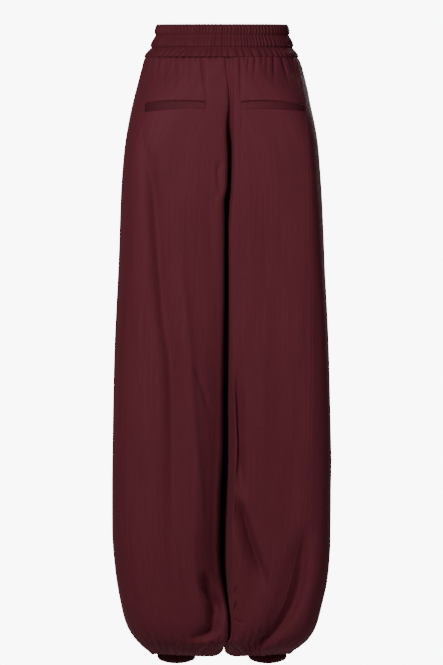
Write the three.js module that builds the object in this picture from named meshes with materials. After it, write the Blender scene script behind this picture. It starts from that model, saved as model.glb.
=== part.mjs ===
// Wide balloon-leg trousers with an elasticated waistband, two back welt pockets and gathered ankle cuffs,
// in the hollow shape that they hold on a wearer. Each piece is a wall of cloth with a real thickness.
// Millimetres. +Z is up, +Y is the way the wearer faces and +X is the wearer's right. The origin is on the
// garment's centre line, halfway up the waistband's elastic.
import * as THREE from "three";

// Driving dimensions
const clothThickness = 1.8;
const seamGap = 0.3;
const outerSquareness = 2.15; // exponent of the oval on a section's outer side: 2 is an ellipse
const slant = 0.09; // how far the middle of the garment leans to the left for each millimetre forward
const topEdge = -18; // the waistband's top edge is this far down the cloth from the origin
const waistSeam = 38; // how far down the cloth the waistband ends, below the origin
const crotch = 276; // how far down the cloth the four panels meet
const hemSeam = 1130; // how far down the cloth the panels end, inside the curl over the cuff
const crotchFade = 20; // over this length above the crotch the seams' edges turn to face the other leg
const riseStart = { back: 80, front: 135 }; // where the rise seam leaves the outer surface and turns under
const riseCurve = { back: 2.1, front: 2.2 };
const curvePoints = 36; // points of each face of a half section

const widestHips = 150; // how far down the cloth
const columns = { back_left: 15, front_left: 17, back_right: 13, front_right: 22 }; // across each panel
const topGathers = 12; // along the top of each panel
const hemGathers = 8; // along the hem of each panel
const waistGathers = 84; // all round
const cuffGathers = 16; // all round
const pointsPerGather = 3;

const weltStart = 3; // the column of a back panel at which its welt begins
const besideWelt = 3; // columns of a back panel beyond its welt
const weltThickness = 1.6;
const weltTurn = 0.9; // how far the folded upper edge of a welt stands out past its lower edge

const cuffCentre = 77.5;
const cuffBore = 27.5;

const colours = { panels: 0x5a252b, waistband: 0x56222a, welts: 0x521f26, cuffs: 0x3c151a };

// A table is a list of rows with named columns, ordered by its first column.
function table(columns, ...rows) {
  return rows.map((row) => Object.fromEntries(columns.map((name, i) => [name, row[i]])));
}

// The garment's sections. down: how far down the cloth; z: height; side: from the middle to the outer side;
// inner: half the gap between the legs; square: the oval's exponent on its inner side; back, front: depth
// each way; centre: how far the middle stands to the right; lean: how much of the slant it has; tilt: how
// much higher the row is at its outer side.
const sections = table(
  ["down", "z", "side", "inner", "square", "back", "front", "centre", "lean", "tilt"],
  [-18, 18, 111, 0, 2.2, 85, 81, -4, 1, 0],
  [0, 0, 113, 0, 2.2, 88, 84, -2, 1, 0],
  [12, -12, 118, 0, 2.2, 92, 88, -1, 1, 0],
  [22, -22, 121, 0, 2.2, 95, 90, 0, 1, 0],
  [38, -38, 130, 0, 2.2, 102, 95, 1, 1, 0],
  [60, -60, 137, 0, 2.2, 110, 100, 1.5, 1, 0],
  [100, -100, 147, 0, 2.3, 120, 105, 1.5, 1, 0],
  [150, -150, 158, 0, 2.5, 127, 109, 1, 1, 0],
  [200, -200, 166, 0, 2.8, 129, 111, 1, 1, 0],
  [276, -276, 171, 0, 3.2, 125, 112, 3, 1, 0],
  [400, -400, 175.5, 1.2, 3.4, 119, 112, 4, 1, 0],
  [550, -550, 183, 1.2, 3.3, 116, 112, 5, 1, 0],
  [680, -680, 186, 1.2, 2.9, 114, 112, 4.5, 1, 0],
  [770, -770, 187.5, 1, 2.7, 113, 111.5, 2, 1, 0],
  [850, -850, 187, 0.8, 2.8, 112, 111, 0, 1, 0],
  [910, -910, 182.5, 0.7, 2.8, 110, 109, 0.5, 1, 0],
  [980, -980, 170, 0.7, 2.7, 105, 104, 6.5, 1, 0],
  [1014, -1014, 160, 0.8, 2.6, 100, 99, 8.5, 1, 0],
  [1034, -1033, 149, 1.1, 2.5, 93, 92, 6.5, 1, 0],
  [1054, -1048.5, 134.5, 1.8, 2.4, 81, 79, 1.5, 1, 0],
  [1068, -1057, 124.5, 3.5, 2.3, 69, 67, 0, 0.7, 0.5],
  [1082, -1063, 119, 11, 2.2, 54, 53, 0, 0.35, 1],
  [1096, -1065, 117, 25, 2.1, 44, 44, 0, 0.1, 2],
  [1108, -1063.3, 114.6, 37, 2, 38.6, 38.6, 0, 0, 2],
  [1120, -1056.5, 111.3, 43, 2, 34.4, 34.4, 0, 0, 1],
  [1130, -1048, 108.8, 46.1, 2, 31.3, 31.3, 0, 0, 0],
);

// The right leg's outer seam as it shows from behind, by its distance right of the middle.
const rightSideSeam = table(
  ["down", "x"],
  [38, 127],
  [120, 143],
  [300, 151],
  [490, 153],
  [660, 152],
  [800, 140],
  [885, 127],
  [971, 104],
  [1034, 76],
  [1054, 68],
  [1130, 70],
);
// The left leg's outer seam is hidden: it runs this far in front of the leg's widest point.
const leftSideSeam = table(
  ["down", "forward"],
  [38, 0],
  [200, 6],
  [500, 16],
  [800, 30],
  [1000, 45],
  [1130, 40],
);

// Large soft folds. x: where the fold's line lies at its top, middle and bottom, as seen from behind;
// height: how far it stands out, or in if negative; left, right: how far its two flanks reach.
const folds = table(
  ["leg", "face", "top", "bottom", "xTop", "xMiddle", "xBottom", "height", "left", "right"],
  ["left", "back", 110, 1000, -140, -106, -76, -7, 30, 17],
  ["left", "back", 330, 980, -86, -62, -48, 5, 22, 22],
  ["left", "back", 440, 1060, -30, -19, -42, -9, 18, 20],
  ["right", "back", 470, 860, 16, 24, 44, -4, 14, 26],
  ["right", "back", 790, 960, 18, 38, 58, -5, 16, 16],
  ["right", "back", 330, 950, 78, 84, 92, 4, 34, 34],
  ["right", "back", 760, 1060, 138, 122, 78, -6, 20, 16],
  ["left", "front", 130, 980, -118, -98, -84, -7, 24, 20],
  ["left", "front", 300, 960, -60, -56, -62, 5, 26, 26],
  ["left", "front", 560, 1050, -26, -30, -46, -6, 16, 22],
  ["right", "front", 160, 900, 112, 104, 88, -6, 26, 20],
  ["right", "front", 420, 1010, 52, 58, 66, 5, 26, 26],
  ["right", "front", 640, 1055, 28, 34, 52, -6, 16, 20],
);
// The two halves dive towards each other along the centre seams.
const centreDive = { back: 6, front: 3, width: 15, top: 44, fadeIn: 50, fadeOut: 90, bottom: 270 };
const foldFade = { full: 0.4, dying: 0.65 }; // shares of a fold's length where it is full, and starts to die

// How far the gathers stand out, by how far down the cloth.
const topGatherHeight = table(["down", "height"], [38, 1.0], [46, 2.3], [60, 1.6], [86, 0.5], [104, 0]);
const hemGatherHeight = table(
  ["down", "height"],
  [985, 0],
  [1034, 1.2],
  [1072, 2.2],
  [1090, 2.4],
  [1108, 1.2],
  [1130, 0],
);

// A smooth curve through a table's column, by distance down the cloth, that never overshoots its rows.
function lookUp(rows, column, down) {
  const last = rows.length - 1;
  if (down <= rows[0].down) return rows[0][column];
  if (down >= rows[last].down) return rows[last][column];
  const i = rows.findIndex((row) => row.down > down) - 1;
  const slope = (k) => (rows[k + 1][column] - rows[k][column]) / (rows[k + 1].down - rows[k].down);
  const tangent = (k) => {
    if (k === 0) return slope(0);
    if (k === last) return slope(last - 1);
    const [before, after] = [slope(k - 1), slope(k)];
    return before * after <= 0 ? 0 : (2 * before * after) / (before + after);
  };
  const step = rows[i + 1].down - rows[i].down;
  const t = (down - rows[i].down) / step;
  return (
    rows[i][column] * (1 + 2 * t) * (1 - t) ** 2 +
    tangent(i) * step * t * (1 - t) ** 2 +
    rows[i + 1][column] * t * t * (3 - 2 * t) +
    tangent(i + 1) * step * t * t * (t - 1)
  );
}

// How deep the rise seam lies at a level, as a share of the section's depth: 1 on the outer surface above
// the hips, 0 where the four panels meet.
function riseShare(face, down) {
  const start = riseStart[face];
  const t = THREE.MathUtils.clamp((down - start) / (crotch - start), 0, 1);
  return (1 - t ** riseCurve[face]) ** 0.5;
}

// One half of the garment's section at a level, from the centre seam or inseam at the back, round the outer
// side, to the centre seam or inseam at the front. The oval's middle moves out as the legs part.
const halfSections = new Map();
function halfSection(leg, down) {
  const name = leg + down.toFixed(4);
  if (halfSections.has(name)) return halfSections.get(name);
  const names = Object.keys(sections[0]);
  const at = Object.fromEntries(names.map((column) => [column, lookUp(sections, column, down)]));
  const hand = leg === "right" ? 1 : -1;
  const inner = at.inner + seamGap / 2 + hand * at.centre;
  const points = [];
  for (const face of ["back", "front"]) {
    const rise = riseShare(face, down);
    const reach = (1 - rise ** at.square) ** (1 / at.square);
    const middle = (inner + reach * at.side) / (1 + reach);
    const start = -Math.asin(reach ** (at.square / 2));
    for (let i = 0; i <= curvePoints; i++) {
      const share = face === "back" ? i / curvePoints : 1 - i / curvePoints;
      const angle = THREE.MathUtils.lerp(start, Math.PI / 2, share);
      const exponent = 2 / (angle < 0 ? at.square : outerSquareness);
      const across = Math.sign(Math.sin(angle)) * Math.abs(Math.sin(angle)) ** exponent;
      const deep = Math.max(Math.cos(angle), 0) ** exponent;
      const y = face === "back" ? -at.back * deep : at.front * deep;
      const leaning = slant * at.lean * y * (1 - Math.max(across, 0));
      const x = hand * (middle + (at.side - middle) * across) - leaning;
      points.push(new THREE.Vector3(x, y, at.z + at.tilt * across));
    }
  }
  const lengths = [0];
  for (let i = 1; i < points.length; i++) lengths.push(lengths[i - 1] + points[i].distanceTo(points[i - 1]));
  const made = { points, lengths, total: lengths[lengths.length - 1], outer: lengths[curvePoints] };
  halfSections.set(name, made);
  return made;
}

// The point at a length along a half section.
function pointAt(section, length) {
  const { points, lengths } = section;
  const wanted = THREE.MathUtils.clamp(length, 0, section.total);
  let i = lengths.findIndex((each) => each >= wanted);
  i = Math.max(i, 1);
  const share = (wanted - lengths[i - 1]) / Math.max(lengths[i] - lengths[i - 1], 1e-9);
  return points[i - 1].clone().lerp(points[i], share);
}

// The length along a half section at which its back or front face passes a distance right of the middle.
function lengthAtX(leg, section, face, x) {
  const hand = leg === "right" ? 1 : -1;
  const { points, lengths } = section;
  const [from, order] = face === "back" ? [0, 1] : [points.length - 1, -1];
  for (let i = 1; i <= curvePoints; i++) {
    const [a, b] = [from + order * (i - 1), from + order * i];
    const [near, far] = [hand * points[a].x, hand * points[b].x];
    if (far >= hand * x) {
      const share = THREE.MathUtils.clamp((hand * x - near) / Math.max(far - near, 1e-9), 0, 1);
      return THREE.MathUtils.lerp(lengths[a], lengths[b], share);
    }
  }
  return section.outer;
}

// The outer seam's length along the half section.
function sideSeamLength(leg, down) {
  const section = halfSection(leg, down);
  if (leg === "right") return lengthAtX(leg, section, "back", lookUp(rightSideSeam, "x", down));
  return section.outer + lookUp(leftSideSeam, "forward", down);
}

// A bell that is 1 at its middle and dies away over a flank's reach.
function bell(distance, reach) {
  return Math.exp(-2 * (distance / reach) ** 2);
}

// How far the folds push the cloth out at a place.
function foldHeight(leg, down, length) {
  const section = halfSection(leg, down);
  let height = 0;
  for (const fold of folds) {
    if (fold.leg !== leg || down <= fold.top || down >= fold.bottom) continue;
    const t = (down - fold.top) / (fold.bottom - fold.top);
    const [top, middle, bottom] = [(1 - t) * (1 - 2 * t), 4 * t * (1 - t), t * (2 * t - 1)];
    const x = fold.xTop * top + fold.xMiddle * middle + fold.xBottom * bottom;
    const away = length - lengthAtX(leg, section, fold.face, x);
    const towardsRight = (leg === "right") === (fold.face === "back") ? away > 0 : away < 0;
    const { full, dying } = foldFade;
    const fade = THREE.MathUtils.smoothstep(t, 0, full) * (1 - THREE.MathUtils.smoothstep(t, dying, 1));
    height += fold.height * fade * bell(away, towardsRight ? fold.right : fold.left);
  }
  const { back, front, width, top, fadeIn, fadeOut, bottom } = centreDive;
  const fade = THREE.MathUtils.smoothstep(down, top, top + fadeIn)
    * (1 - THREE.MathUtils.smoothstep(down, bottom - fadeOut, bottom));
  height -= fade * (back * bell(length, width) + front * bell(section.total - length, width));
  return height;
}

// Across the plane that the centre seams lie in.
const seamPlane = new THREE.Vector3(1, slant, 0).normalize();

// A place on the plain surface of the cloth, folds included, and the way out of it. At a centre seam the way
// out stays in the seam's plane, so that the two halves meet edge to edge.
function clothPlace(leg, down, length) {
  const at = (d, l) => pointAt(halfSection(leg, d), l);
  const step = 1.5;
  const section = halfSection(leg, down);
  const share = length / section.total;
  const here = at(down, length);
  const before = THREE.MathUtils.clamp(length - step, 0, section.total - 2 * step);
  const along = at(down, before + 2 * step).sub(at(down, before));
  const above = THREE.MathUtils.clamp(down - step, topEdge, hemSeam - 2 * step);
  const below = above + 2 * step;
  const downhill = at(below, share * halfSection(leg, below).total).sub(
    at(above, share * halfSection(leg, above).total),
  );
  const out = downhill.cross(along).normalize();
  if (leg === "left") out.negate();
  const fromSeam = Math.min(length, section.total - length);
  const facing = (1 - THREE.MathUtils.smoothstep(fromSeam, 0, centreDive.width))
    * (1 - THREE.MathUtils.smoothstep(down, crotch - crotchFade, crotch));
  out.addScaledVector(seamPlane, -facing * out.dot(seamPlane)).normalize();
  return { point: here.addScaledVector(out, foldHeight(leg, down, length)), out };
}

// Triangles between two rows of a wall, which may have different numbers of points. A closed row meets its
// own start.
function zip(rowA, rowB, closed) {
  const triangles = [];
  const [n, m] = [rowA.length, rowB.length].map((count) => (closed ? count : count - 1));
  let [i, j] = [0, 0];
  while (i < n || j < m) {
    const [a, b] = [rowA[i % rowA.length], rowB[j % rowB.length]];
    if (j === m || (i < n && (i + 1) / n <= (j + 1) / m + 1e-9)) {
      triangles.push([a, b, rowA[(i + 1) % rowA.length]]);
      i += 1;
    } else {
      triangles.push([a, b, rowB[(j + 1) % rowB.length]]);
      j += 1;
    }
  }
  return triangles;
}

// A closed wall from its outer and inner rows of points. A ring's rows close on themselves, and a panel's
// ends are closed with strips of their own.
function wallGeometry(outerRows, innerRows, ring) {
  const positions = [];
  const indexRow = (row) => row.map((point) => positions.push(point.x, point.y, point.z) / 3 - 1);
  const outer = outerRows.map(indexRow);
  const inner = innerRows.map(indexRow);
  const last = outer.length - 1;
  const flip = ([a, b, c]) => [a, c, b];
  const triangles = [...zip(outer[0], inner[0], ring).map(flip), ...zip(outer[last], inner[last], ring)];
  for (let i = 1; i <= last; i++) {
    triangles.push(...zip(outer[i - 1], outer[i], ring), ...zip(inner[i - 1], inner[i], ring).map(flip));
  }
  if (!ring) {
    for (let i = 1; i < outer.length; i++) {
      const first = [outer[i - 1][0], outer[i][0], inner[i][0], inner[i - 1][0]];
      const end = [outer[i - 1], outer[i], inner[i], inner[i - 1]].map((row) => row[row.length - 1]);
      triangles.push([first[0], first[3], first[1]], [first[1], first[3], first[2]]);
      triangles.push([end[0], end[1], end[3]], [end[1], end[2], end[3]]);
    }
  }
  const corner = (k) => new THREE.Vector3().fromArray(positions, 3 * k);
  const volume = triangles.reduce((sum, [a, b, c]) => sum + corner(a).dot(corner(b).cross(corner(c))), 0);
  const facing = volume < 0 ? triangles.map(flip) : triangles;
  const geometry = new THREE.BufferGeometry();
  geometry.setAttribute("position", new THREE.Float32BufferAttribute(positions, 3));
  geometry.setIndex(facing.flat());
  geometry.computeVertexNormals();
  return geometry;
}

const garment = new THREE.Group();
function addPiece(name, geometry, colour) {
  const cloth = new THREE.MeshStandardMaterial({ color: colour, roughness: 0.75, metalness: 0 });
  const mesh = new THREE.Mesh(geometry, cloth);
  mesh.name = name;
  garment.add(mesh);
}

// Rows of each panel: gathered at the top, plain down the leg, gathered again where the hem turns under.
const rowsOf = (gathers, ...downs) => downs.map((down) => ({ down, gathers }));
const panelRows = [
  ...rowsOf(topGathers, waistSeam + seamGap, 46, 60, 82),
  ...rowsOf(0, 104, 116, 124, 131, 156, 182, 206, 228, 246, 262, crotch),
  ...rowsOf(0, 300, 340, 390, 460, 540, 620, 700, 770, 840, 900, 945),
  ...rowsOf(hemGathers, 985, 1014, 1034, 1054, 1068, 1082, 1096, 1108, 1120, hemSeam),
];
// Each panel is one cut of cloth in two solids that meet at the knee, as shorter walls take closer collision
// pieces. The knee is one of the rows.
const knee = 620;
const weltRows = [116, 124, 131]; // rows of a back panel that its welt lies on

// Places of a back panel's first columns, in millimetres from the centre seam, and of its pocket welt's
// ends, as shares of its width at the hips.
const seamColumns = { left: [0, 6, 16], right: [0, 5, 11] };
const weltShares = { left: [0.155, 0.84], right: [0.09, 0.85] };
const frontSpread = 1.3; // an exponent: over 1 brings a front panel's columns closer at the centre seam
const spread = { top: 54, hips: 104, legs: 700, hem: 985, power: 7 };

// A column's share of the panel's width at the hips: close together at the centre seam, and on a back panel
// with the welt's ends on two of the columns. The column number may lie between two columns.
function hipShare(leg, face, column) {
  const count = columns[`${face}_${leg}`];
  if (face === "front") return (column / count) ** frontSpread;
  const width = panelWidth(leg, face, widestHips);
  const [first, last] = weltShares[leg];
  const places = [...seamColumns[leg].map((place) => place / width), first, last, 1];
  const knots = [...seamColumns[leg].keys(), weltStart, count - besideWelt, count];
  const i = Math.min(knots.findIndex((each, k) => knots[k + 1] >= column), knots.length - 2);
  return THREE.MathUtils.mapLinear(column, knots[i], knots[i + 1], places[i], places[i + 1]);
}

// The width of a panel at a level, round its section.
function panelWidth(leg, face, down) {
  const seam = sideSeamLength(leg, down);
  return (face === "back" ? seam : halfSection(leg, down).total - seam) - seamGap / 2;
}

// The length along the half section of a place on a panel, given by its column. Below the hips the panel
// widens at its inner edge, so the outer columns run straight down. At the waist and the hem they are evenly
// spread.
function panelLength(leg, face, down, column) {
  const width = panelWidth(leg, face, down) - (down < crotch ? 0 : seamGap / 2);
  const evenly = 1 - THREE.MathUtils.smoothstep(down, spread.top, spread.hips)
    + THREE.MathUtils.smoothstep(down, spread.legs, spread.hem);
  const level = column / columns[`${face}_${leg}`];
  const share = 1 - THREE.MathUtils.lerp(hipShare(leg, face, column), level, evenly);
  const narrow = down < widestHips ? width : Math.min(width, panelWidth(leg, face, widestHips));
  const fromSide = share * narrow + (width - narrow) * share ** spread.power + seamGap / 2;
  return sideSeamLength(leg, down) + (face === "back" ? -fromSide : fromSide);
}

function panelPoint(leg, face, down, column, lift) {
  const place = clothPlace(leg, down, panelLength(leg, face, down, column));
  return place.point.addScaledVector(place.out, lift);
}

function gatherLift(down, gathers, share) {
  const height = lookUp(topGatherHeight, "height", down) + lookUp(hemGatherHeight, "height", down);
  return height * Math.abs(Math.sin(Math.PI * gathers * share));
}

function panelGeometry(leg, face, part) {
  const plain = columns[`${face}_${leg}`];
  const cut = part === "upper" ? knee - seamGap / 2 : knee + seamGap / 2;
  const rows = panelRows
    .filter(({ down }) => (part === "upper" ? down <= knee : down >= knee))
    .map(({ down, gathers }) => ({ down: down === knee ? cut : down, gathers }));
  const outerRows = rows.map(({ down, gathers }) => {
    const count = gathers ? gathers * pointsPerGather : plain;
    return Array.from({ length: count + 1 }, (_, i) =>
      panelPoint(leg, face, down, (plain * i) / count, gatherLift(down, gathers, i / count)),
    );
  });
  const innerRows = rows.map(({ down }) =>
    Array.from({ length: plain + 1 }, (_, i) => panelPoint(leg, face, down, i, -clothThickness)),
  );
  return wallGeometry(outerRows, innerRows, false);
}

// A welt lies on its back panel: its points are the panel's own, moved out.
function weltGeometry(leg) {
  const weltWidth = columns[`back_${leg}`] - besideWelt - weltStart;
  const places = Array.from({ length: weltWidth + 1 }, (_, i) => weltStart + i);
  const rowsAt = (lift) =>
    weltRows.map((down) => places.map((column) => panelPoint(leg, "back", down, column, lift(down))));
  const turn = (down) => (weltTurn * (weltRows[2] - down)) / (weltRows[2] - weltRows[0]);
  return wallGeometry(
    rowsAt((down) => seamGap + weltThickness + turn(down)),
    rowsAt(() => seamGap),
    false,
  );
}

// The waistband's rows, from its rolled top edge to the waist seam. out: how far the row stands outside the
// table's section; gather: how far its gathers stand out. The two rows of stitching draw it in.
const waistbandRows = table(
  ["down", "out", "gather"],
  [-18, -1.6, 0.4],
  [-13, 0.6, 1.5],
  [-5, 0.6, 1.5],
  [0, -0.8, 0.5],
  [9, 1, 1.6],
  [22, -0.8, 0.5],
  [37.7, 0, 1.4],
);
const waistbandThickness = 4;

function waistbandGeometry() {
  const ringRow = (down, count, lift) =>
    ["right", "left"].flatMap((leg) => {
      const section = halfSection(leg, down);
      return Array.from({ length: count }, (_, i) => {
        const share = leg === "right" ? i / count : 1 - i / count;
        const place = clothPlace(leg, down, share * section.total);
        const level = new THREE.Vector3(place.out.x, place.out.y, 0).normalize();
        return pointAt(section, share * section.total).addScaledVector(level, lift(share));
      });
    });
  const gathersPerHalf = waistGathers / 2;
  const outerRows = waistbandRows.map(({ down, out, gather }) =>
    ringRow(down, gathersPerHalf * pointsPerGather, (share) =>
      out + gather * Math.abs(Math.sin(Math.PI * gathersPerHalf * share)),
    ),
  );
  const plain = () => -waistbandThickness;
  const innerRows = waistbandRows.map(({ down }) => ringRow(down, gathersPerHalf / 2, plain));
  return wallGeometry(outerRows, innerRows, true);
}

// A cuff's rows, from the hem seam down to its rolled edge.
const cuffRows = table(
  ["z", "radius", "gather"],
  [-1045, 30.6, 0.3],
  [-1049, 30.9, 0.1],
  [-1055, 30.4, 0.9],
  [-1064, 30.8, 1.3],
  [-1074, 31, 1.5],
  [-1080, 29.4, 0.7],
);

function cuffGeometry(leg) {
  const middle = leg === "right" ? cuffCentre : -cuffCentre;
  const ringRow = (z, count, radiusAt) =>
    Array.from({ length: count }, (_, i) => {
      const angle = (2 * Math.PI * i) / count;
      const radius = radiusAt(i / count);
      return new THREE.Vector3(middle + radius * Math.cos(angle), radius * Math.sin(angle), z);
    });
  const outerRows = cuffRows.map(({ z, radius, gather }) =>
    ringRow(z, cuffGathers * pointsPerGather, (share) =>
      radius + gather * Math.abs(Math.sin(Math.PI * cuffGathers * share)),
    ),
  );
  const innerRows = cuffRows.map(({ z }) => ringRow(z, cuffGathers * 2, () => cuffBore));
  return wallGeometry(outerRows, innerRows, true);
}

addPiece("waistband", waistbandGeometry(), colours.waistband);
for (const leg of ["left", "right"]) {
  for (const face of ["back", "front"]) {
    for (const part of ["upper", "lower"]) {
      addPiece(`${face}_${leg}_${part}`, panelGeometry(leg, face, part), colours.panels);
    }
  }
  addPiece(`welt_${leg}`, weltGeometry(leg), colours.welts);
  addPiece(`cuff_${leg}`, cuffGeometry(leg), colours.cuffs);
}

export default garment;
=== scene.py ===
# Burgundy balloon-leg trousers with an elasticated waistband, two back welt pockets and gathered ankle
# cuffs, in the hollow shape that they hold on a wearer, seen from behind.
# Lengths are in millimetres and become metres where a mesh is made. +Z is up, +Y is the way the wearer
# faces and +X is the wearer's right. "Down" is measured down the cloth from the middle of the elastic.
import bpy
import numpy as np
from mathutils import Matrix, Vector


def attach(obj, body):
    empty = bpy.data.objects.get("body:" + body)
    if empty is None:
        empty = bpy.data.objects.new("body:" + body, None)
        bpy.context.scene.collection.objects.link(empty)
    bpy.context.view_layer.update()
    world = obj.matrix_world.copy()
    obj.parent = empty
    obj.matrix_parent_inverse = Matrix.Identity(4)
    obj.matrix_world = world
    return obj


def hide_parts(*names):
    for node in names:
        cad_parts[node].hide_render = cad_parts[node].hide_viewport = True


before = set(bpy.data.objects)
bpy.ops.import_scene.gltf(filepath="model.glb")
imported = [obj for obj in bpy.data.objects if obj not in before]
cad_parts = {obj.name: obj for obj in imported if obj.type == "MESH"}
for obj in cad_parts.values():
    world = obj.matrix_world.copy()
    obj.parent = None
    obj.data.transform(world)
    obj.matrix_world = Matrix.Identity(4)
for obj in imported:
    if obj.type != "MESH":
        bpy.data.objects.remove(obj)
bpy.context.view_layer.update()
mm = 0.001
print("stage: the frame is loaded")


# Camera: level with the middle of the garment, behind it, far off with a long lens
cameraSettings = {
    "photoWidth": 443,
    "photoHeight": 665,
    "mmPerPixel": 1.71875,
    "centrePixelX": 221.0,  # the garment's centre line in the photograph
    "originPixelY": 35.0,  # the middle of the elastic in the photograph
    "distance": 50.0,
    "sensorHeight": 24.0,
}


def pixelX(x):
    # the garment's x, in millimetres, of a column of the photograph
    return (x - cameraSettings["centrePixelX"]) * cameraSettings["mmPerPixel"]


def pixelZ(y):
    return (cameraSettings["originPixelY"] - y) * cameraSettings["mmPerPixel"]


def makeCamera():
    s = cameraSettings
    lens = bpy.data.cameras.new("camera")
    lens.sensor_fit = "VERTICAL"
    lens.sensor_height = s["sensorHeight"]
    lens.lens = s["sensorHeight"] * s["distance"] / (s["photoHeight"] * s["mmPerPixel"] * mm)
    camera = bpy.data.objects.new("camera", lens)
    bpy.context.scene.collection.objects.link(camera)
    middle = Vector((pixelX(s["photoWidth"] / 2) * mm, 0, pixelZ(s["photoHeight"] / 2) * mm))
    camera.location = middle - Vector((0, s["distance"], 0))
    camera.rotation_euler = (np.pi / 2, 0, 0)
    bpy.context.scene.camera = camera


makeCamera()
print("stage: camera")


# Curves and tables
def smoothTable(rows, places):
    # A cubic through the rows that never overshoots them. The slope at a row is the harmonic mean of the
    # slopes on its two sides, or 0 where these differ in sign. One column of the result for each of theirs.
    table = np.array(rows, float)
    x, y = table[:, 0], table[:, 1:]
    step = np.diff(x)[:, None]
    slope = np.diff(y, axis=0) / step
    before, after = slope[:-1], slope[1:]
    total = np.where(before + after == 0, 1, before + after)
    inside = np.where(before * after > 0, 2 * before * after / total, 0)
    tangent = np.vstack([slope[:1], inside, slope[-1:]])
    places = np.clip(np.asarray(places, float), x[0], x[-1])
    i = np.clip(np.searchsorted(x, places, side="right") - 1, 0, len(x) - 2)
    h = step[i]
    t = (places - x[i])[:, None] / h
    return (
        y[i] * (1 + 2 * t) * (1 - t) ** 2
        + tangent[i] * h * t * (1 - t) ** 2
        + y[i + 1] * t * t * (3 - 2 * t)
        + tangent[i + 1] * h * t * t * (t - 1)
    )


def smoothstep(low, high, value):
    t = np.clip((value - low) / (high - low), 0, 1)
    return t * t * (3 - 2 * t)


def blend(a, b, share):
    return a + (b - a) * share


def unit(vectors):
    return vectors / np.maximum(np.linalg.norm(vectors, axis=-1, keepdims=True), 1e-9)


def spacedBy(rows, count):
    # Places along a range, at the spacing that a table of (place, spacing) asks for
    fine = np.linspace(rows[0][0], rows[-1][0], 4000)
    gap = np.interp(fine, [r[0] for r in rows], [r[1] for r in rows])
    passed = np.concatenate([[0], np.cumsum(np.diff(fine) / ((gap[1:] + gap[:-1]) / 2))])
    return np.interp(np.linspace(0, passed[-1], count), passed, fine)


def alongRows(keys, wanted, *values):
    # Looks up each row's wanted places among that row's rising keys, all the rows at once: each row is
    # moved past the one before it, so that one interpolation serves them all.
    span = 2 * (max(keys.max(), wanted.max()) - min(keys.min(), wanted.min())) + 1
    offset = span * np.arange(len(keys))[:, None]
    known = (keys + offset).ravel()
    asked = (wanted + offset).ravel()
    found = [np.interp(asked, known, v.ravel()).reshape(wanted.shape) for v in values]
    return found[0] if len(found) == 1 else found


# The garment's sections, by the distance down the cloth
garment = {
    "topEdge": -18.0,
    "waistSeam": 38.0,
    "panelTop": 36.4,  # the panels' top edge is hidden inside the waistband
    "crotch": 276.0,
    "hemSeam": 1130.0,
    "clothThickness": 1.2,
    "slant": 0.085,  # how far the seam between the legs leans to the left for each millimetre forward
    "rows": 345,
    "backColumns": 116,
    "frontColumns": 112,
}

# down, height, half width, depth behind, depth in front, roundness of the hips, tilt of the row,
# half the gap at the inseam, where the middle stands, how much of the slant it has
sectionRows = [
    (-18, 18, 111, 85, 81, 2.2, 0, 0, 1, 1),
    (0, 0, 114, 88, 84, 2.2, 0, 0, 1, 1),
    (12, -12, 118, 92, 88, 2.2, 0, 0, 1, 1),
    (22, -22, 121, 95, 90, 2.2, 0, 0, 1, 1),
    (38, -38, 131, 102, 95, 2.2, 0, 0, 2, 1),
    (60, -60, 137, 109, 100, 2.2, 0, 0, 3, 1),
    (100, -100, 147, 117.5, 105, 2.3, 0, 0, 3, 1),
    (150, -150, 158, 123, 109, 2.5, 0, 0, 3, 1),
    (200, -200, 165.6, 125.5, 111, 2.8, 0, 0, 3, 1),
    (276, -276, 171.4, 125, 112, 3.2, 0, 0, 3, 1),
    (400, -400, 176, 120.5, 112, 3.4, 0, 0.6, 4, 1),
    (550, -550, 183, 116, 112, 3.3, 0, 0.6, 5, 1),
    (680, -680, 186, 114, 112, 2.9, 0, 0.6, 4.5, 1),
    (770, -770, 187.5, 113, 111.5, 2.7, 0, 0.6, 2, 1),
    (850, -850, 187, 112, 111, 2.8, 0, 0.6, 0, 1),
    (910, -910, 182.5, 110, 109, 2.8, 0, 0.6, 0.5, 1),
    (980, -980, 171, 105, 104, 2.7, 0, 0.6, 6.5, 1),
    (1014, -1014, 161.4, 100, 99, 2.6, 0, 0.7, 8.5, 1),
    (1034, -1033, 150.6, 93, 92, 2.5, 0, 0.9, 7, 1),
    (1054, -1048.5, 136, 81, 79, 2.4, 0, 1.0, 5.5, 1),
    (1068, -1057, 125, 69, 67, 2.3, 0.5, 2.2, 4.8, 0.7),
    (1082, -1063, 119, 54, 53, 2.2, 1, 8.5, 4.5, 0.35),
    (1096, -1065, 117, 44, 44, 2.1, 2, 18, 3.5, 0.1),
    (1108, -1063.3, 114.6, 38.6, 38.6, 2, 2, 32, 1.5, 0),
    (1120, -1056.5, 111.3, 34.4, 34.4, 2, 1, 42, 0.3, 0),
    (1130, -1048, 108.8, 31.3, 31.3, 2, 0, 46.1, 0, 0),
]
sectionNames = ["z", "side", "back", "front", "square", "tilt", "inner", "middleX", "lean"]

# How much further out each leg's side reaches than in the rows above
sideReach = {
    "left": [(38, 0), (1000, 0), (1046, -1.4), (1070, 0), (1130, 0)],
    "right": [(38, 2.0), (58, 4.4), (95, 3.6), (130, 2.4), (163, 2.8), (250, 1.8), (438, 2.6), (540, 2.0),
              (713, 2.6), (790, 1.3), (850, 1.3), (885, 2.6), (940, 3.5), (988, 1.8), (1040, 1.8),
              (1056, 0), (1130, 0)],
}


def sectionAt(downs):
    return dict(zip(sectionNames, smoothTable(sectionRows, downs).T[:, :, None]))


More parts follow.
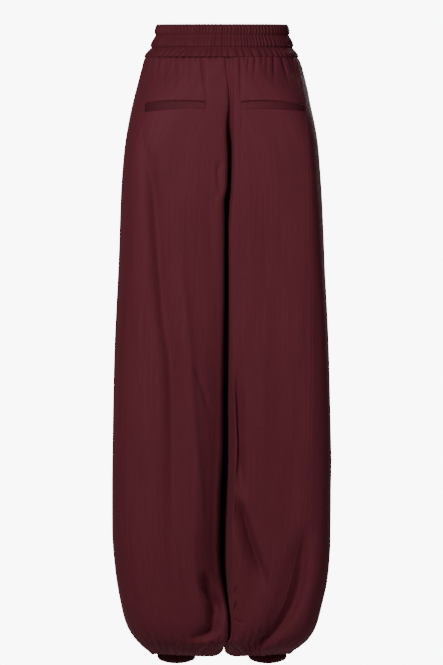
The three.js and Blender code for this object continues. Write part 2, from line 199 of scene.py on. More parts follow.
# The gap between the legs as it shows from behind: down, where its middle is, half its width
backGapRows = [
    (38, 14.5, 8.0), (77, 16.6, 6.6), (99, 17.4, 5.0), (120, 17.3, 4.4), (155, 15.8, 5.6),
    (208, 17.6, 5.4), (261, 16.2, 4.9), (287, 12.6, 7.2), (309, 11.8, 6.2), (335, 11.4, 5.0),
    (455, 12.4, 4.8), (541, 12.9, 6.2), (627, 13.5, 7.2), (713, 14.0, 8.2), (756, 13.0, 9.6),
    (799, 11.0, 9.8), (842, 10.3, 8.7), (885, 10.3, 8.5), (928, 12.4, 7.0), (950, 13.8, 4.6),
    (971, 14.9, 2.7), (1005, 18.4, 1.8), (1031, 16.4, 1.7), (1054, 7.5, 1.3), (1068, 4.8, 2.5),
    (1082, 4.5, 9.0), (1096, 3.5, 18.5), (1108, 1.5, 32.5), (1120, 0.3, 42.5), (1130, 0.0, 46.6),
]

# How the cloth turns in between the legs. rise: where the centre seam leaves the surface, and how steeply;
# valley: depth of the trough along the centre seam at the top; corner: radius of the cloth's turn;
# falls: how much the face falls off towards the gap and how far from it that starts, by the distance down;
# square: the oval's exponent on its outer side.
faceShapes = {
    ("left", "back"): {"rise": (66, 2.0), "valley": 3.4, "corner": 12, "square": 3.6,
                       "falls": [(38, 2, 60), (276, 4, 70), (400, 8, 76), (533, 19, 66), (632, 31, 59),
                                 (732, 34, 53), (800, 38, 54), (842, 42, 56), (900, 48, 58), (935, 46, 56),
                                 (971, 32, 52), (1005, 14, 44), (1045, 3, 50)]},
    ("right", "back"): {"rise": (66, 2.0), "valley": 3.4, "corner": 4.5, "square": 4.6,
                        "falls": [(38, 1, 50), (500, 2, 44), (700, 4, 38), (800, 5, 34), (880, 3, 32),
                                  (1045, 3, 50)]},
    ("left", "front"): {"rise": (135, 2.2), "valley": 1.5, "corner": 14, "square": 2.5,
                        "falls": [(38, 3, 60), (276, 7, 75), (640, 15, 70), (960, 18, 60), (1045, 5, 50)]},
    ("right", "front"): {"rise": (135, 2.2), "valley": 1.5, "corner": 14, "square": 2.5,
                         "falls": [(38, 3, 60), (276, 8, 70), (560, 11, 75), (900, 20, 60), (1045, 5, 50)]},
}
fallPower = 1.35
throat = {"depth": 60, "perFall": 1.3, "opens": 8, "wallLean": 1.0}  # the legs touch from this deep on
waistOval = {"square": 2.15, "until": (38, 190)}  # the panels are as oval as the waistband, down to these
hemRound = (1045, 1078)  # between these the sections turn into plain ovals
curvePoints = {"floor": 14, "foot": 8, "wall": 26, "corner": 30, "outer": 260}  # of each face's fine line

# The right leg's outer seam as it shows from behind, and how far in front of its widest point the left
# leg's hidden one runs
rightSideSeam = [(38, 129), (120, 145), (300, 153), (490, 155), (660, 154), (800, 143), (885, 129),
                 (971, 106), (1034, 78), (1054, 70), (1130, 71)]
leftSideSeam = [(38, 0), (200, 6), (500, 16), (800, 30), (1000, 45), (1130, 40)]


def line2(a, b, count):
    t = np.linspace(0, 1, count)[None, :]
    return [blend(p, q, t) for p, q in zip(a, b)]


def turn2(a, corner, b, count):
    # a quadratic curve from a to b that is drawn towards the corner
    t = np.linspace(0, 1, count)[None, :]
    return [(1 - t) ** 2 * p + 2 * t * (1 - t) * c + t * t * q for p, c, q in zip(a, corner, b)]


def towards(a, b, length):
    gap = np.maximum(np.hypot(b[0] - a[0], b[1] - a[1]), 1e-6)
    return [p + (q - p) * np.minimum(length / gap, 0.49) for p, q in zip(a, b)]


def faceCurve(square, fall, fallFrom, corner, depth, deep, gapWidth, inner, middle, side, roundness):
    # One face of a half section, from the centre seam to the outermost point, as the distance from the
    # gap's middle and the depth below the face: a floor, a wall, a rounded corner and the outer surface.
    def below(u):
        inside = np.clip((middle - u) / np.maximum(middle - inner, 1e-3), 0, 1)
        outside = np.clip((u - middle) / (side - middle), 0, 1)
        falling = np.clip((fallFrom - u) / (fallFrom - inner), 0, 1)
        oval = depth * (1 - np.sqrt(1 - inside**2))
        return blend(fall * falling**fallPower, oval, roundness) + depth * (
            1 - (1 - outside**square) ** (1 / square)
        )

    touching = throat["depth"] + throat["perFall"] * fall
    deepening = smoothstep(throat["opens"], touching, deep)
    seam = [inner * deepening, deep]
    floorEdge = [blend(np.maximum(gapWidth - throat["wallLean"], 0.5), inner + 0.3, deepening),
                 np.minimum(deep, touching)]
    top = [gapWidth, below(gapWidth)]
    reach = np.minimum(corner, 1.5 + deep)
    start = gapWidth + reach
    end = [start, below(start)]
    fillet = np.minimum(1.2, 0.3 * deep)
    a = towards(floorEdge, seam, fillet)
    b = towards(floorEdge, top, fillet)
    c = towards(top, floorEdge, np.minimum(corner, 0.5 * deep))
    inside = [line2(seam, a, curvePoints["floor"]), turn2(a, floorEdge, b, curvePoints["foot"]),
              line2(b, c, curvePoints["wall"]),
              turn2(c, [gapWidth, blend(end[1], top[1], 0.3)], end, curvePoints["corner"])]
    u = np.hstack([p[0][:, :-1] for p in inside])
    d = np.hstack([p[1][:, :-1] for p in inside])
    # the plain oval that the hem turns into, over the same points
    stop = np.arccos(np.clip((middle - start) / np.maximum(middle - inner, 1e-3), -1, 1))
    angle = blend(0, stop, np.linspace(0, 1, u.shape[1] + 1)[None, :-1])
    u = blend(u, middle - (middle - inner) * np.cos(angle), roundness)
    d = blend(d, depth * (1 - np.sin(angle)), roundness)
    outer = start + (side - start) * np.sin(np.linspace(0, np.pi / 2, curvePoints["outer"]))[None, :]
    return np.hstack([u, outer]), np.hstack([d, below(outer)])


def halfSections(leg, downs):
    # Every row is one half of the garment's section, from the seam at the back round to the seam at the
    # front, as a fine line of points with its length so far.
    hand = 1 if leg == "right" else -1
    at = sectionAt(downs)
    back, front, inner = at["back"], at["front"], at["inner"]
    at["side"] = at["side"] + smoothTable(sideReach[leg], downs)
    gapX, gapWidth = smoothTable(backGapRows, downs).T[:, :, None]
    roundness = smoothstep(*hemRound, downs)[:, None]
    halves = {}
    for face, depth in (("back", back), ("front", front)):
        shape = faceShapes[leg, face]
        start, curve = shape["rise"]
        t = np.clip((downs - start) / (garment["crotch"] - start), 0, 1)[:, None]
        rise = np.sqrt(1 - t**curve)
        reach = (1 - rise ** at["square"]) ** (1 / at["square"])
        middle = (inner + reach * at["side"]) / (1 + reach)
        width = gapWidth if face == "back" else np.maximum(inner + 0.8, 1.6)
        fall, fallFrom = smoothTable(shape["falls"], downs).T[:, :, None]
        deeperFall = np.maximum(*[smoothTable(faceShapes[side, face]["falls"], downs)[:, :1]
                                  for side in ("left", "right")])  # both legs' seams lie equally deep
        deep = np.minimum(shape["valley"] + depth * (1 - rise) + 0.5 * deeperFall, depth)
        fromWaist = smoothstep(*waistOval["until"], downs)[:, None]
        square = blend(waistOval["square"], shape["square"], fromWaist)
        square = blend(square, waistOval["square"], roundness)
        u, d = faceCurve(square, fall, fallFrom, shape["corner"], depth, deep, width, inner, middle,
                         at["side"], roundness)
        y = (d - depth) if face == "back" else (depth - d)
        across = np.clip((u - middle) / (at["side"] - middle), -1, 1)
        frontX = at["middleX"] - garment["slant"] * at["lean"] * front
        backwards, forwards = np.clip(-y / back, 0, 1), np.clip(y / front, 0, 1)
        shift = at["middleX"] + (gapX - at["middleX"]) * backwards + (frontX - at["middleX"]) * forwards
        x = hand * u + shift * (1 - np.maximum(across, 0))
        sunk = np.maximum(d - fall, 0)
        halves[face] = [x, y, at["z"] + at["tilt"] * across, u, sunk, np.broadcast_to(middle, u.shape)]
    joined = [np.hstack([b, f[:, -2::-1]]) for b, f in zip(halves["back"], halves["front"])]
    x, y, height, u, d, middle = joined
    steps = np.hypot(np.diff(x, axis=1), np.diff(y, axis=1))
    length = np.hstack([np.zeros((len(downs), 1)), np.cumsum(steps, axis=1)])
    turn = halves["back"][0].shape[1] - 1
    return {"x": x, "y": y, "z": height, "u": u, "d": d, "middle": middle, "length": length, "turn": turn,
            "outer": length[:, turn], "inwards": turn - curvePoints["outer"] + 1, "gapWidth": gapWidth,
            "roundness": roundness, "hand": hand, "downs": downs}


def lengthAtX(half, face, x):
    # The length along each row at which its back or front face passes a distance right of the middle
    faceColumns = slice(half["inwards"], half["turn"] + 1)
    if face == "front":
        faceColumns = slice(half["turn"], half["x"].shape[1] - half["inwards"])
    keys, lengths = half["hand"] * half["x"][:, faceColumns], half["length"][:, faceColumns]
    if face == "front":
        keys, lengths = keys[:, ::-1], lengths[:, ::-1]
    keys = np.maximum.accumulate(keys, axis=1) + 1e-7 * np.arange(keys.shape[1])
    return alongRows(keys, half["hand"] * np.asarray(x, float)[:, None], lengths)


# Folds and creases, by leg and face. Each says how far it stands out, how far its flanks reach to the left
# and to the right, its power (2 is soft, lower is sharper), the shares of its length over which it grows
# and dies, and its line of (down, x) as seen from behind.
creases = {
    ("left", "back"): [
        # the long soft trough from the pocket, and the ridge and troughs beside the gap
        (-13.0, 16, 26, 1.6, (0.22, 0.5), (130, -136), (163, -136), (217, -127), (275, -117), (375, -109),
         (490, -98), (560, -88), (632, -85), (718, -84), (846, -84), (1000, -80)),
        (5.0, 34, 10, 1.4, (0.35, 0.3), (340, -72), (388, -67), (533, -54), (632, -48), (732, -40),
         (818, -33), (900, -28)),
        (-22.0, 30, 10, 1.7, (0.35, 0.12), (915, 6), (950, 4), (971, 0), (1005, -6), (1022, -11),
         (1048, -34)),
        (-4.0, 5, 8, 1.5, (0.3, 0.4), (560, -48), (600, -34), (640, -22), (665, -14)),
        (-4.0, 3, 6, 1.5, (0.15, 0.4), (214, 6), (232, -6), (262, -3), (290, 3)),
        (-1.2, 1.6, 2.4, 1.5, (0.2, 0.4), (134, -139.6), (180, -135.8)),
    ],
    ("right", "back"): [
        # folds that start in the gap, and those at the side and above the hem
        (-12.0, 12, 16, 1.8, (0.4, 0.3), (540, 18), (600, 21), (680, 25), (720, 28), (765, 33),
         (808, 40)),
        (-18.0, 18, 9, 1.8, (0.25, 0.45), (785, 22), (822, 37), (858, 48), (883, 56), (916, 68),
         (965, 82)),
        (4.0, 11, 14, 1.9, (0.4, 0.5), (830, 19), (880, 29), (925, 38), (965, 46)),
        (-17.0, 24, 16, 1.7, (0.3, 0.12), (830, 148), (885, 142), (930, 138), (971, 127), (1000, 112),
         (1022, 96), (1048, 74), (1070, 62)),
        (4.0, 34, 20, 2.0, (0.4, 0.3), (840, 112), (925, 100), (990, 78), (1040, 54)),
        (3.0, 34, 30, 2.0, (0.5, 0.5), (330, 78), (640, 84), (950, 92)),
        (-1.2, 2.0, 2.0, 1.5, (0.2, 0.5), (118, 36), (190, 36.5)),
        (-3.6, 3, 4.5, 1.6, (0.2, 0.5), (948, 18), (957, 23), (970, 31)),
        (-3.6, 3, 4.5, 1.6, (0.2, 0.5), (974, 18), (984, 22), (995, 29)),
        (-3.6, 3, 4.5, 1.6, (0.2, 0.5), (1003, 20), (1006, 28), (1013, 38)),
    ],
    ("left", "front"): [
        # hidden in the photograph: as many and as uneven as behind
        (-7, 20, 24, 1.8, (0.4, 0.35), (130, -118), (555, -98), (980, -84)),
        (5, 26, 12, 1.7, (0.4, 0.35), (300, -60), (630, -56), (960, -62)),
        (-6, 16, 22, 1.8, (0.4, 0.35), (560, -26), (805, -30), (1050, -46)),
    ],
    ("right", "front"): [
        (-6, 26, 18, 1.8, (0.4, 0.35), (160, 112), (530, 104), (900, 88)),
        (5, 14, 26, 1.7, (0.4, 0.35), (420, 52), (715, 58), (1010, 66)),
        (-6, 16, 20, 1.8, (0.4, 0.35), (640, 28), (848, 34), (1055, 52)),
    ],
}

gatherShape = {"reach": 4.2, "power": 1.2, "perDepth": 1.7}
# The hidden gathers: how deep, how long, how far they sway and how far apart they are, each between two
# limits, and where they begin and stop
frontGathers = {"depths": (2.4, 4.6), "lengths": (50, 105), "sways": (-4, 6), "steps": (10, 18),
                "first": 9.0, "last": 116}
sideGathers = {"depths": (2.4, 4.4), "lengths": (45, 95), "sways": (-5, 5), "steps": (8, 14),
               "first": -22.0, "last": 34}


def gatherCreases():
    # Short creases that fan down from the waist seam. Behind: the photographed columns at the seam and at
    # their ends, how far down they run, and their depth. In front: about as many, at uneven steps.
    behind = {
        "left": [(152, 149, 78, 1.6), (158, 156, 84, 2.2), (165, 163.5, 92, 2.4), (170, 169, 70, 1.8),
                 (176, 175, 96, 2.4), (183, 183, 74, 2.0), (190, 190.5, 88, 2.2), (196, 197, 66, 1.8),
                 (201, 209.5, 112, 3.0), (209, 213, 62, 1.4), (216, 218, 60, 1.2)],
        "right": [(240.6, 240.8, 116, 2.2), (245, 244.5, 66, 1.8), (249, 247.3, 78, 2.4),
                  (256, 253.5, 84, 2.2), (262.8, 261.5, 70, 2.0), (267.5, 266.5, 82, 1.8),
                  (274, 274.5, 92, 2.4), (282, 290.5, 90, 3.0), (289, 294, 76, 1.8), (292, 298, 84, 2.0)],
    }
    s, f, seam = gatherShape, frontGathers, garment["waistSeam"]
    made = {key: [] for key in creases}

    def add(leg, face, depth, places):
        made[leg, face].append((-depth, s["reach"], s["reach"], s["power"], (0, 0.9), *places))

    for leg, rows in behind.items():
        for top, bottom, lowest, depth in rows:
            end = -pixelZ(lowest)
            places = [(seam, pixelX(top)), (blend(seam, end, 0.5), pixelX((top + bottom) / 2)),
                      (end, pixelX(bottom))]
            add(leg, "back", s["perDepth"] * depth, places)
    rng = np.random.default_rng(11)
    for leg, hand in (("left", -1), ("right", 1)):
        place = f["first"]
        while place < f["last"]:
            sway, reach = rng.uniform(*f["sways"]), rng.uniform(*f["lengths"])
            places = [(seam, hand * place), (70, hand * (place + sway / 2)),
                      (seam + reach, hand * (place + sway))]
            add(leg, "front", rng.uniform(*f["depths"]), places)
            place += rng.uniform(*f["steps"])
    return made


def creaseHeight(half, length, face, height, left, right, power, fades, *line):
    # height times a bell that falls off at its own rate on each side of the line, times its fade
    downs = half["downs"]
    line = np.array(line, float)
    x = smoothTable(line, downs)[:, 0]
    away = length - lengthAtX(half, face, x)
    rightwards = away * half["hand"] * (1 if face == "back" else -1)
    reach = np.where(rightwards > 0, right, left)
    t = (downs - line[0, 0]) / (line[-1, 0] - line[0, 0])
    grow, die = fades
    fade = smoothstep(-1e-6, max(grow, 1e-6), t) * (1 - smoothstep(1 - die, 1, t)) * (t >= -1e-3) * (t <= 1)
    return height * fade[:, None] * np.exp(-2 * np.abs(away / reach) ** power)


def sideGatherHeight(surface):
    # Short gathers under the waist seam at the leg's side, which the photograph doesn't show: as deep and
    # as uneven as those beside them, by the length from the outermost point
    rng = np.random.default_rng(41 if surface["leg"] == "left" else 43)
    downs, fromSide = surface["downs"][:, None], surface["fromSide"]
    s, g = gatherShape, sideGathers
    total = np.zeros_like(fromSide)
    place = g["first"]
    while place < g["last"]:
        depth, reach, sway = rng.uniform(*g["depths"]), rng.uniform(*g["lengths"]), rng.uniform(*g["sways"])
        t = np.clip((downs - garment["waistSeam"]) / reach, 0, 1)
        away = fromSide - place - sway * t
        total -= depth * (1 - smoothstep(0.1, 1, t)) * np.exp(-2 * np.abs(away / s["reach"]) ** s["power"])
        place += rng.uniform(*g["steps"])
    return total


# Pocket welts: the photograph's columns and rows of points along the upper edge and the lower edge
weltEdges = {
    "left": {"upper": [(144.7, 104.8), (156, 102.9), (169.6, 102.0), (188, 102.2), (206, 103.2)],
             "lower": [(143.2, 112.6), (156.3, 110.9), (172.9, 109.4), (189.5, 108.8), (206, 109.3)]},
    "right": {"upper": [(241.2, 103.4), (253, 102.4), (265.8, 102.2), (289, 103.6), (303.9, 105.6)],
              "lower": [(241.5, 109.6), (253, 109.5), (264.1, 109.5), (289, 110.3), (304.2, 111.6)]},
}
weltSettings = {
    "lift": 0.35,
    "backLift": 0.2,
    "endInset": 0.2,
    "taper": 0.95,  # the share of its thickness that it loses towards its lower edge
    "thickInside": 0.9,
    "thickOutside": 3.6,
    "thickPower": 1.6,
    "foldShare": 0.14,  # the share of the welt's height over which its upper edge is rounded
    # the welt's colour is darkened to half at its outer end: painted shade for the shadow where the
    # pocket's mouth gapes
    "outerPaintedShade": 0.5,
    "paintedShadePower": 1.3,
    "columns": 120,
    "rows": 14,
}
# How the back panel dips and swells at a pocket. Drop: how far below its line each stands; reach: how wide
pocketRelief = {
    "mouth": {"height": -3.6, "drop": -0.6, "reach": 1.5},
    "seam": {"height": -0.3, "drop": 0.5, "reach": 0.9},
    "bag": {"height": 0.7, "drop": 3, "reach": 7},
    "endSoftness": (1.5, 2.5),
}


def weltLines(leg):
    return [[(pixelX(x), -pixelZ(y)) for x, y in weltEdges[leg][edge]] for edge in ("upper", "lower")]


def pocketHeight(leg, x, downs):
    # The cloth dips into the pocket's mouth above the welt and a little at the seam under it, and swells
    # over the bag
    upper, lower = weltLines(leg)
    places = x.ravel()
    mouth = smoothTable(upper, places)[:, 0].reshape(x.shape)
    under = smoothTable(lower, places)[:, 0].reshape(x.shape)
    out, into = pocketRelief["endSoftness"]
    inside = smoothstep(upper[0][0] - out, upper[0][0] + into, x) * (
        1 - smoothstep(upper[-1][0] - into, upper[-1][0] + out, x))
    down = downs[:, None]

    def bell(name, line):
        r = pocketRelief[name]
        return r["height"] * np.exp(-(((down - line - r["drop"]) / r["reach"]) ** 2))

    return inside * (bell("bag", under) * (down > under) + bell("mouth", mouth) + bell("seam", under))


def gatherPhase(length, total, count, seed):
    # A rising number that passes a whole number at each gather's edge, unevenly spaced, and each gather's
    # own strength
    rng = np.random.default_rng(seed)
    steps = rng.uniform(0.62, 1.38, count)
    edges = np.concatenate([[0], np.cumsum(steps)]) / steps.sum()
    phase = np.interp(np.clip(length / total, 0, 1), edges, np.arange(count + 1))
    strength = rng.uniform(0.55, 1.15, count + 1)
    return phase, strength[np.clip(phase.astype(int), 0, count)]


hemGathers = {
    "count": 40,
    "height": [(985, 0), (1015, 0.8), (1034, 2.0), (1054, 3.2), (1082, 3.6), (1100, 3.0), (1118, 1.6),
               (1130, 0.5)],
    "power": 0.8,
}
drape = {
    "waves": 7,
    "height": 0.55,
    "across": (38, 95),
    "along": (420, 1100),
    "grows": (110, 300),
    "calms": (1020, 1060),
    "calmed": 0.6,
}


def drapeHeight(surface):
    # Broad shallow waves that make the hanging cloth uneven: a few sine waves of random place and slant
    rng = np.random.default_rng(23 if surface["leg"] == "left" else 29)
    fromSide, downs = surface["fromSide"], surface["downs"][:, None]
    total = np.zeros_like(fromSide)
    for _ in range(drape["waves"]):
        across, along = rng.uniform(*drape["across"]), rng.uniform(*drape["along"])
        turns = fromSide / across + downs / along * rng.choice([-1, 1]) + rng.uniform()
        total += np.sin(2 * np.pi * turns)
    swell = smoothstep(*drape["grows"], downs) * (1 - drape["calmed"] * smoothstep(*drape["calms"], downs))
    return drape["height"] * total / np.sqrt(drape["waves"]) * swell


# How far apart the rows of the cloth's grid are, by the distance down, and its columns: on the plain
# outside, how much closer at the turn into the gap, and how much wider in the hidden depth
rowSpacing = [(garment["panelTop"], 1.4), (60, 1.7), (104, 1.7), (111, 0.85), (136, 0.85), (142, 1.8),
              (160, 3.6), (200, 5.0), (780, 5.2), (800, 3.8), (960, 3.6), (1000, 2.4), (1054, 1.8),
              (1130, 1.6)]
columnSpacing = {"outside": 3.0, "closer": 2.2, "turnReach": 9, "turnDepth": 14, "wider": 6,
                 "hidden": (15, 45)}


def legSurface(leg):
    # The cloth of one leg as a grid: rows down the cloth, columns round it, closer together where it turns
    # into the gap. The back panel's columns come first, and both panels share the seam's column.
    downs = spacedBy(rowSpacing, garment["rows"])
    half = halfSections(leg, downs)
    inwards = half["u"] < half["middle"]
    s = columnSpacing
    fromTurn = half["u"] - half["gapWidth"] - 2
    turn = np.exp(-((fromTurn / s["turnReach"]) ** 2) - (half["d"] / s["turnDepth"]) ** 2)
    hidden = smoothstep(*s["hidden"], half["d"]) * inwards * (1 - half["roundness"])
    spacing = s["outside"] - s["closer"] * turn + s["wider"] * hidden
    steps = np.diff(half["length"], axis=1)
    passed = np.hstack([np.zeros((len(downs), 1)),
                        np.cumsum(steps / ((spacing[:, 1:] + spacing[:, :-1]) / 2), axis=1)])
    if leg == "right":
        seam = lengthAtX(half, "back", smoothTable(rightSideSeam, downs)[:, 0])
    else:
        seam = half["outer"][:, None] + smoothTable(leftSideSeam, downs)
    seamPassed = alongRows(half["length"], seam, passed)
    nb, nf = garment["backColumns"], garment["frontColumns"]
    wanted = np.hstack([seamPassed * np.linspace(0, 1, nb + 1)[None, :],
                        blend(seamPassed, passed[:, -1:], np.linspace(0, 1, nf + 1)[None, 1:])])
    keys = passed + 1e-9 * np.arange(passed.shape[1])
    x, y, z, length = alongRows(keys, wanted, half["x"], half["y"], half["z"], half["length"])
    return {"half": half, "downs": downs, "points": np.stack([x, y, z], axis=2), "length": length,
            "fromSide": length - half["outer"][:, None], "seam": seam, "total": half["length"][:, -1:],
            "leg": leg, "hand": half["hand"]}


def outwardNormals(points, hand):
    n = np.cross(np.gradient(points, axis=0), np.gradient(points, axis=1))
    return hand * unit(n)


seamRelief = {"ridge": 1.1, "ridgeReach": 2.6, "groove": 0.2, "grooveReach": 0.8}
tuck = {"depth": 0.7, "until": 44, "topDepth": 2.4, "topUntil": 38.6, "fromCentre": (12, 30)}
centreCalm = 10  # the folds die out this near the centre seams


def clothHeights(surface):
    # How far the folds, creases and gathers push the cloth out, in millimetres
    half, length, total, downs = surface["half"], surface["length"], surface["total"], surface["downs"]
    height = drapeHeight(surface) + sideGatherHeight(surface)
    leg, gathers = surface["leg"], gatherCreases()
    for face in ("back", "front"):
        for crease in creases[leg, face] + gathers[leg, face]:
            height += creaseHeight(half, length, face, *crease)
    phase, strength = gatherPhase(length, total, hemGathers["count"], 31 if leg == "left" else 37)
    rise = smoothTable(hemGathers["height"], downs)
    height += rise * strength * (np.abs(np.sin(np.pi * phase)) ** hemGathers["power"] - 0.5)
    x, y = surface["points"][:, :, 0], surface["points"][:, :, 1]
    height += pocketHeight(leg, x, downs) * (y < -20)  # on the back only
    fromSeam = length - surface["seam"]
    s = seamRelief
    height += s["ridge"] * np.exp(-((fromSeam / s["ridgeReach"]) ** 2))
    height -= s["groove"] * np.exp(-((fromSeam / s["grooveReach"]) ** 2))
    # the top is tucked under the waistband, and its edge, away from the centre seams, lies inside it
    height -= tuck["depth"] * (1 - smoothstep(garment["waistSeam"], tuck["until"], downs))[:, None]
    edge = tuck["topDepth"] * (1 - smoothstep(garment["panelTop"], tuck["topUntil"], downs))[:, None]
    height -= edge * smoothstep(*tuck["fromCentre"], np.minimum(length, total - length))
    return height * smoothstep(0, centreCalm, length) * smoothstep(0, centreCalm, total - length)


def writeMesh(name, points, faces, uv, paintedShade=None):
    # the shade given here scales the cloth's colour at each point, as painted shade: 1 where nothing is
    # said
    mesh = bpy.data.meshes.new(name)
    points, uv = points.reshape(-1, 3), uv.reshape(-1, 2)
    mesh.vertices.add(len(points))
    mesh.vertices.foreach_set("co", (points * mm).astype(np.float32).ravel())
    faces = np.ascontiguousarray(faces, np.int32)
    mesh.loops.add(faces.size)
    mesh.loops.foreach_set("vertex_index", faces.ravel())
    mesh.polygons.add(len(faces))
    mesh.polygons.foreach_set("loop_start", np.arange(len(faces), dtype=np.int32) * faces.shape[1])
    mesh.polygons.foreach_set("loop_total", np.full(len(faces), faces.shape[1], np.int32))
    mesh.update(calc_edges=True)
    layer = mesh.uv_layers.new(name="clothMap")
    layer.data.foreach_set("uv", (uv * mm).astype(np.float32)[faces.ravel()].ravel())
    mesh.polygons.foreach_set("use_smooth", np.ones(len(faces), bool))
    paintedShading = mesh.attributes.new("paintedShade", "FLOAT", "POINT")
    paintedShade = np.ones(len(points), np.float32) if paintedShade is None else paintedShade.ravel()
    paintedShading.data.foreach_set("value", paintedShade)
    piece = bpy.data.objects.new(name, mesh)
    bpy.context.scene.collection.objects.link(piece)
    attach(piece, "root")
    return piece


def gridFaces(rows, columns, closedRows=False, closedColumns=False, flip=False):
    r = np.arange(rows if closedRows else rows - 1)
    c = np.arange(columns if closedColumns else columns - 1)
    r, c = np.meshgrid(r, c, indexing="ij")
    r2, c2 = (r + 1) % rows, (c + 1) % columns
    quads = np.stack([r * columns + c, r2 * columns + c, r2 * columns + c2, r * columns + c2], axis=-1)
    quads = quads.reshape(-1, 4)
    return quads[:, ::-1] if flip else quads


def addWall(piece, thickness):
    wall = piece.modifiers.new("wall", "SOLIDIFY")
    wall.thickness = thickness * mm
    wall.offset = -1


# Material
clothColours = {
    "panel_cloth": (0.1246, 0.0215, 0.0326),
    "waistband_cloth": (0.1020, 0.0171, 0.0261),
    # painted shade: the welts are coloured a little darker than the panels for their shaded tone
    "welt_cloth": (0.1154, 0.0199, 0.0302),
    # painted shade: the cuffs are coloured much darker than the cloth for the shadow that the hem casts on
    # them
    "cuff_cloth": (0.0650, 0.0106, 0.0159),
    "thread": (0.105, 0.0194, 0.0250),
}
clothFinish = {"roughness": 0.62, "sheen": 0.09, "sheenRoughness": 0.45, "specular": 0.08}
# The weave's noises, each by its scale across and down the cloth, its detail and its share of the colour,
# and the twill's fine lines
weave = {
    "streaks": ((210, 7, 0), 2.5, 0.34),
    "yarns": ((900, 40, 0), 1.0, 0.26),
    "patches": ((16, 5, 0), 2.0, 0.26),
    "base": 0.57,
    "roughSpread": 0.16,
    "twill": (5200, 5200, 0),
    "twillRelief": 0.35,
    "yarnRelief": 1.2,
    "reliefHeight": 0.00012,
    "reliefStrength": 0.6,
}


def nodeTree(tree):
    # short calls for adding nodes with settings and links
    def add(kind, inputs=(), **settings):
        node = tree.nodes.new(kind)
        for key, value in settings.items():
            setattr(node, key, value)
        for key, value in dict(inputs).items():
            if isinstance(value, bpy.types.NodeSocket):
                tree.links.new(value, node.inputs[key])
            else:
                node.inputs[key].default_value = value
        return node
    return add


def makeWovenGroup():
    # A fine twill with faint upright streaks: from the place on the cloth, in metres, and the cloth's
    # colour, it gives the colour there, the roughness and the relief
    group = bpy.data.node_groups.new("wovenCloth", "ShaderNodeTree")
    for name, way, kind in (("Place", "INPUT", "Vector"), ("Colour", "INPUT", "Color"),
                            ("Colour", "OUTPUT", "Color"), ("Roughness", "OUTPUT", "Float"),
                            ("Relief", "OUTPUT", "Float")):
        group.interface.new_socket(name=name, in_out=way, socket_type="NodeSocket" + kind)
    add = nodeTree(group)
    given = add("NodeGroupInput")
    place = given.outputs["Place"]

    def noise(name):
        scale, detail, _ = weave[name]
        spread = add("ShaderNodeVectorMath", {0: place, 1: scale}, operation="MULTIPLY")
        inputs = {"Vector": spread.outputs[0], "Scale": 1.0, "Detail": detail}
        return add("ShaderNodeTexNoise", inputs).outputs["Fac"]

    def maths(operation, a, b=0.0, c=0.0):
        return add("ShaderNodeMath", {0: a, 1: b, 2: c}, operation=operation).outputs[0]

    streaks, yarns, patches = noise("streaks"), noise("yarns"), noise("patches")
    across = add("ShaderNodeVectorMath", {0: place, 1: weave["twill"]}, operation="DOT_PRODUCT")
    twill = maths("SINE", across.outputs["Value"])
    value = maths("MULTIPLY_ADD", streaks, weave["streaks"][2], weave["base"])
    value = maths("ADD", value, maths("MULTIPLY", yarns, weave["yarns"][2]))
    value = maths("ADD", value, maths("MULTIPLY", patches, weave["patches"][2]))
    tinted = add("ShaderNodeVectorMath", {0: given.outputs["Colour"], "Scale": value}, operation="SCALE")
    spread = weave["roughSpread"]
    rough = maths("MULTIPLY_ADD", streaks, spread, clothFinish["roughness"] - spread / 2)
    relief = maths("ADD", maths("MULTIPLY", twill, weave["twillRelief"]),
                   maths("MULTIPLY", yarns, weave["yarnRelief"]))
    out = add("NodeGroupOutput")
    group.links.new(tinted.outputs[0], out.inputs["Colour"])
    group.links.new(rough, out.inputs["Roughness"])
    group.links.new(relief, out.inputs["Relief"])
    return group


def clothMaterial(name, colour, group):
    material = bpy.data.materials.new(name)
    material.use_nodes = True
    add = nodeTree(material.node_tree)
    shader = material.node_tree.nodes["Principled BSDF"]
    place = add("ShaderNodeUVMap", uv_map="clothMap")
    woven = add("ShaderNodeGroup", node_tree=group)
    woven.inputs["Colour"].default_value = (*colour, 1)
    links = material.node_tree.links
    links.new(place.outputs["UV"], woven.inputs["Place"])
    bump = add("ShaderNodeBump", {"Height": woven.outputs["Relief"], "Distance": weave["reliefHeight"],
                                  "Strength": weave["reliefStrength"]})
    # the shade attribute darkens the base colour as painted shade, used on the welts
    paintedShade = add("ShaderNodeAttribute", attribute_name="paintedShade")
    withPaintedShade = add("ShaderNodeVectorMath", {0: woven.outputs["Colour"], "Scale": paintedShade.outputs["Fac"]},
                 operation="SCALE")
    links.new(withPaintedShade.outputs[0], shader.inputs["Base Color"])
    links.new(woven.outputs["Roughness"], shader.inputs["Roughness"])
    links.new(bump.outputs["Normal"], shader.inputs["Normal"])
    shader.inputs["Sheen Weight"].default_value = clothFinish["sheen"]
    shader.inputs["Sheen Roughness"].default_value = clothFinish["sheenRoughness"]
    shader.inputs["Sheen Tint"].default_value = (1.0, 0.45, 0.5, 1)
    shader.inputs["Specular IOR Level"].default_value = clothFinish["specular"]
    return material


woven = makeWovenGroup()
materials = {name: clothMaterial(name, colour, woven) for name, colour in clothColours.items()}


def dress(piece, slot):
    piece.data.materials.append(materials[slot])


# Leg panels
def makePanel(surface, face):
    nb = garment["backColumns"]
    columns = slice(0, nb + 1) if face == "back" else slice(nb, None)
    points = surface["cloth"][:, columns]
    length = surface["length"][:, columns]
    rows, count = length.shape
    grain = surface["fromSide"][:, columns]  # the cloth's threads run down it, straight along the side
    uv = np.stack([grain, -np.broadcast_to(surface["downs"][:, None], (rows, count))], axis=2)
    node = face + "_" + surface["leg"]
    piece = writeMesh("cloth_" + node, points, gridFaces(rows, count, flip=surface["hand"] < 0), uv)
    addWall(piece, garment["clothThickness"])
    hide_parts(node + "_upper", node + "_lower")
    dress(piece, "panel_cloth")


